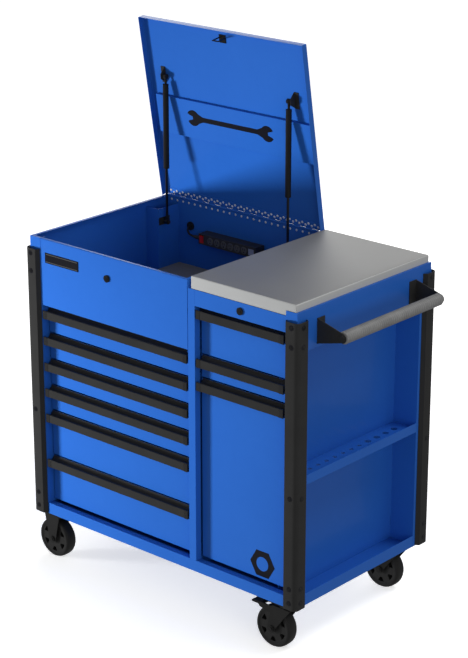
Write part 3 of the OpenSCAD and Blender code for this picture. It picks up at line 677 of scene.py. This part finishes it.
# %% [markdown]
# A caster wheel is a thin tyre pressed on a moulded hub. The tyre is spun from its section;
# the hub is a sleeve, a wide boss, a rim and six broad spokes over a web, with pockets left
# between the spokes.

# %% Casters' wheels
SPOKES = 6
SPOKE_SIZE = (20, 25)
SPOKE_R = 38
BORE_R = 5.1
SLEEVE_R = 15
BOSS_R = 31
RIM_R = 45
TYRE_R = 51
WEB = 4


def ring(bm, centre, line, steps=56):
    """Spins a closed line of (radius, along) points in mm about an axis along Y."""
    row = [bm.verts.new(centre + Vector((r, 0, 0)) * MM + Vector((0, y, 0)) * MM) for r, y in line]
    edges = [bm.edges.new(pair) for pair in zip(row, row[1:] + row[:1])]
    bmesh.ops.spin(bm, geom=row + edges, cent=centre, axis=(0, 1, 0), angle=math.tau,
                   steps=steps, use_merge=True)


def wheel(node, body):
    """The tyre that stands for a measured wheel, and the hub inside it."""
    low, high = (Vector(v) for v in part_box(node))
    centre = (low + high) / 2
    r = (high.z - low.z) / 2 / MM
    half = (high.y - low.y) / 2 / MM
    tyre = bmesh.new()
    near_side = [(TYRE_R, 1.5 - half), (55, -half), (60, 1.6 - half), (r - 1, 6 - half),
                 (r, 12 - half)]
    ring(tyre, centre, near_side + [(radius, -along) for radius, along in reversed(near_side)])
    bmesh.ops.recalc_face_normals(tyre, faces=tyre.faces)
    tyre_piece = place(node + "_tyre", tyre, body, "wheel_black", tyre_rubber, 50)
    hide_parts(node)
    hub = bmesh.new()
    tube = ((BORE_R, half), (SLEEVE_R, half))
    rim = ((RIM_R, half - 3), (TYRE_R + 0.4, half - 2.2))
    boss = ((SLEEVE_R - 1, half - 3), (BOSS_R, half - 3))
    web = ((BOSS_R - 1, WEB), (RIM_R + 1, WEB))
    for (inner, inner_half), (outer, outer_half), steps in ((*tube, 32), (*rim, 56),
                                                            (*boss, 56), (*web, 56)):
        ring(hub, centre, [(inner, -inner_half), (outer, -outer_half), (outer, outer_half),
                           (inner, inner_half)], steps)
    for k in range(SPOKES):
        turn = Matrix.Translation(centre) @ Matrix.Rotation(math.tau * k / SPOKES, 4, "Y")
        made = bmesh.ops.create_cube(hub, size=1.0)["verts"]
        spoke_size = Vector((SPOKE_SIZE[0], 2 * half - 6.4, SPOKE_SIZE[1])) * MM
        bmesh.ops.scale(hub, vec=spoke_size, verts=made)
        bmesh.ops.translate(hub, vec=Vector((SPOKE_R, 0, 0)) * MM, verts=made)
        bmesh.ops.transform(hub, matrix=turn, verts=made)
    bmesh.ops.recalc_face_normals(hub, faces=hub.faces)
    rounded(place(node + "_hub", hub, body, "wheel_black", hub_plastic, 40), 0.8)


for node in NODE_SLOT:
    if node.startswith("wheel_"):
        wheel(node, NODE_BODY[node])
print("four wheels")

# %% [markdown]
# A power strip has a row of outlets. Each is a dark round face, and its two slots and earth
# hole are near-black patches laid on it, painted shade for the openings. The strip carries a
# foil rating label without any wording.

# %% Outlets and label
STRIP_FACE_Y = 552
STRIP_Z = 797
OUTLET_X = range(228, 369, 28)
outlets = bmesh.new()
slots = bmesh.new()
for x in OUTLET_X:
    spot = at(x, STRIP_FACE_Y - 0.6, STRIP_Z)
    disc(outlets, Matrix.Translation(spot) @ FACING_FRONT, 12, 11.4, depth=1.2, sides=28)
    # Near-black patches: painted shade for the slots and the earth hole.
    for slot_x in (x - 4, x + 4):
        brick(slots, (slot_x - 1, STRIP_FACE_Y - 1.7, STRIP_Z),
              (slot_x + 1, STRIP_FACE_Y - 1.1, STRIP_Z + 7))
    earth = at(x, STRIP_FACE_Y - 1.4, STRIP_Z - 6)
    disc(slots, Matrix.Translation(earth) @ FACING_FRONT, 2.4, 2.4, depth=0.8, sides=12)
place("strip_outlets", outlets, "cabinet", "strip_plastic", outlet_plastic)
place("strip_slot_shade", slots, "cabinet", "strip_plastic", ink_and_hole_shade)
label = bmesh.new()
brick(label, (386, STRIP_FACE_Y - 0.5, STRIP_Z - 10), (408, STRIP_FACE_Y, STRIP_Z + 10))
place("strip_label", label, "cabinet", "zinc", label_foil)
print("outlets:", len(OUTLET_X))

# %% [markdown]
# A lock shows its round plug in the flange. The keyway is a near-black block on the plug, painted
# shade for the narrow slot.

# %% Lock plugs
KEYWAY = (1.8, 0.6, 8)
for body in ("box_lock", "drawer_lock"):
    low, high = (Vector(v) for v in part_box(record["behaviour"]["bodies"][body][0]))
    face = Vector(((low.x + high.x) / 2, low.y, (low.z + high.z) / 2))
    plug = bmesh.new()
    disc(plug, Matrix.Translation(face) @ FACING_FRONT, 7, 6.4, depth=1)
    place(body + "_plug", plug, body, "lock_black", screw_black)
    keyway = bmesh.new()
    bmesh.ops.create_cube(keyway, size=1.0)
    bmesh.ops.scale(keyway, vec=Vector(KEYWAY) * MM, verts=keyway.verts)
    bmesh.ops.translate(keyway, vec=face - Vector((0, KEYWAY[1], 0)) * MM, verts=keyway.verts)
    # The near-black keyway block is painted shade for the slot.
    place(body + "_keyway", keyway, body, "lock_black", ink_and_hole_shade)

# %% [markdown]
# The piano hinge is riveted through both leaves, and its bright pin shows between the painted
# knuckles. Each rivet is a low dome, a squashed sphere, and the pin's ends are short bright
# rings in the gaps.

# %% Hinge rivets
HINGE_X0, HINGE_PITCH, KNUCKLES = 15, 24.6, 25
RIVET_Y, RIVET_Z = 592.8, 889
LEAF_Z = 909.8
LID_RIVETS = ((-6, 14), (6, 8))
PIN_R = 3.3


def dome(bm, spot, radius, flattened):
    """A rivet's head: a sphere of a radius in mm, halved along the axes marked 0.5."""
    bmesh.ops.create_uvsphere(bm, u_segments=14, v_segments=8, radius=radius * MM,
                              matrix=spot @ Matrix.Diagonal((*flattened, 1)))


rivets = bmesh.new()
lid_rivets = bmesh.new()
for k in range(KNUCKLES):
    x = HINGE_X0 + (k + 0.5) * HINGE_PITCH
    dome(rivets, Matrix.Translation(at(x, RIVET_Y, RIVET_Z)), 3.8, (1, 0.5, 1))
    for aside, back in LID_RIVETS:
        spot = OPEN @ Matrix.Translation(at(x + aside, HINGE_Y - back, LEAF_Z))
        dome(lid_rivets, spot, 4.2, (1, 1, 0.5))
for k in range(KNUCKLES + 1):
    spot = Matrix.Translation(at(HINGE_X0 + k * HINGE_PITCH, HINGE_Y, HINGE_Z))
    disc(rivets, spot @ FACING_RIGHT, PIN_R, PIN_R, depth=1.6, sides=20)
place("hinge_rivets", rivets, "cabinet", "zinc", zinc_plate, 50)
place("hinge_lid_rivets", lid_rivets, "lid", "zinc", zinc_plate, 50)
print("hinge:", 3 * KNUCKLES, "rivets")

# %% [markdown]
# The maker's wordings are left out. A plain plate stands for the badge, a spanner for the
# lid's decal and a nut for the decal on the tall drawer. The plate is 1.4 mm thick, and the
# others are flat outlines pushed out a few tenths of a millimetre.

# %% Flat emblems
X_AXIS, Z_AXIS = Vector((1, 0, 0)), Vector((0, 0, 1))


def outline(bm, points, spot, up, lift, thick):
    """A flat shape of (u, v) points in mm, u along X, laid on a face and pushed out."""
    out = X_AXIS.cross(up)
    verts = [bm.verts.new(spot + (X_AXIS * u + up * v + out * lift) * MM) for u, v in points]
    face = bm.faces.new(verts)
    made = bmesh.ops.extrude_face_region(bm, geom=[face])
    bmesh.ops.translate(bm, verts=new_verts(made), vec=out * thick * MM)
    bmesh.ops.recalc_face_normals(bm, faces=bm.faces)


def arc(cx, cy, r, start, stop, steps):
    """Points along an arc, its angles in degrees."""
    return [(cx + r * math.cos(math.radians(start + (stop - start) * i / steps)),
             cy + r * math.sin(math.radians(start + (stop - start) * i / steps)))
            for i in range(steps + 1)]


def rectangle(u0, v0, u1, v1):
    """The four corners of an upright rectangle."""
    return [(u0, v0), (u1, v0), (u1, v1), (u0, v1)]


BADGE = at(133, 0, 842)
BADGE_THICK = 1.4
badge = bmesh.new()
outline(badge, rectangle(-70, -16, 70, 16), BADGE, Z_AXIS, 0, BADGE_THICK)
rounded(place("badge_plate", badge, "cabinet", "lock_black", ink_and_hole_shade), 0.6)
badge_rim = bmesh.new()
for low_v, high_v in ((11, 12.6), (-12.6, -11)):
    outline(badge_rim, rectangle(-66, low_v, 66, high_v), BADGE, Z_AXIS, BADGE_THICK, 0.2)
place("badge_lines", badge_rim, "cabinet", "zinc", label_foil)

JAW_X, JAW_R = 150, 26
SPANNER = (arc(-JAW_X, 0, JAW_R, 40, 150, 8) + [(-166, 9), (-152, 5), (-152, -5), (-166, -9)]
           + arc(-JAW_X, 0, JAW_R, 210, 320, 8) + [(-110, -8), (110, -8)]
           + arc(JAW_X, 0, JAW_R, 220, 330, 8) + [(166, -9), (152, -5), (152, 5), (166, 9)]
           + arc(JAW_X, 0, JAW_R, 30, 140, 8) + [(110, 8), (-110, 8)])
lid_inside = OPEN @ at(318, HINGE_Y - 287, 901)
lid_up = Matrix.Rotation(LID_TURN, 3, "X") @ Vector((0, -1, 0))
spanner = bmesh.new()
outline(spanner, SPANNER, lid_inside, lid_up, 0, 0.4)
place("lid_emblem", spanner, "lid", "lock_black", ink_and_hole_shade)

NUT = at(900, 25, 92)
NUT_THICK = 0.35
TALL_DRAWER = "right_drawer_3_body"
nut = bmesh.new()
outline(nut, arc(0, 0, 46, 0, 300, 5), NUT, Z_AXIS, 0, NUT_THICK)
place("front_emblem", nut, TALL_DRAWER, "lock_black", ink_and_hole_shade)
nut_eye = bmesh.new()
outline(nut_eye, arc(0, 0, 22, 0, 350, 35), NUT, Z_AXIS, NUT_THICK, 0.2)
place("front_emblem_eye", nut_eye, TALL_DRAWER, "blue_paint", blue_paint)
print("emblems placed")

# %% [markdown]
# The floor is a plain pale sheet, wide enough to fill the view, and belongs to the stage. It
# glows a little, and is left out of the bounced light and the gloss.

# %% Floor
floor_mesh = bmesh.new()
bmesh.ops.create_grid(floor_mesh, x_segments=2, y_segments=2, size=40)
floor_data = bpy.data.meshes.new("floor")
floor_mesh.to_mesh(floor_data)
floor_mesh.free()
floor = bpy.data.objects.new("floor", floor_data)
bpy.context.scene.collection.objects.link(floor)
floor_paint = Finish("pale_floor", Roughness=0.9, Specular_IOR_Level=0.1,
                     Emission_Color=(1, 1, 1, 1), Emission_Strength=0.6)
floor_paint.feed("Base Color", floor_paint.between(floor_paint.noise(0.6), (0.93, 0.93, 0.93),
                                                   (0.96, 0.96, 0.96)))
floor.data.materials.append(floor_paint.material)
floor.visible_glossy = False
floor.visible_diffuse = False

# %% [markdown]
# Soft studio light. A low softbox on the left is the main one: it lights the drawer fronts
# and the open lid, and the box's rim shades the lid's lower corner. A broad overhead sun
# lights the worktop. A panel behind draws bright lines along the rims, another fills from the
# right, and the room is pale. The softbox and the fill don't show in the gloss.

# %% Lights
CHEST_MIDDLE = at(500, 250, 600)


def aimed(name, kind, place_mm, glossy, **settings):
    """A light at a place in mm that looks at the middle of the chest."""
    light = bpy.data.lights.new(name, kind)
    lamp = bpy.data.objects.new(name, light)
    bpy.context.scene.collection.objects.link(lamp)
    lamp.location = at(*place_mm)
    lamp.rotation_euler = (CHEST_MIDDLE - lamp.location).to_track_quat("-Z", "Y").to_euler()
    lamp.visible_camera = False
    lamp.visible_glossy = glossy
    for setting, value in settings.items():
        setattr(light, setting, value)


aimed("low_softbox", "AREA", (-2300, -1920, 120), False, size=0.6, energy=46,
      spread=math.radians(90))
aimed("overhead_sun", "SUN", (1300, 800, 2900), True, energy=1.05, angle=math.radians(25))
aimed("back_panel", "AREA", (-1600, 3300, 2300), True, size=2.6, energy=46)
aimed("side_fill", "AREA", (4200, -1800, 1500), False, size=2.5, energy=46)
world = bpy.data.worlds.new("room")
bpy.context.scene.world = world
world.use_nodes = True
background = world.node_tree.nodes["Background"]
background.inputs["Color"].default_value = (1.0, 1.0, 1.0, 1)
background.inputs["Strength"].default_value = 0.23
print("a softbox, a sun, two panels and a pale room")
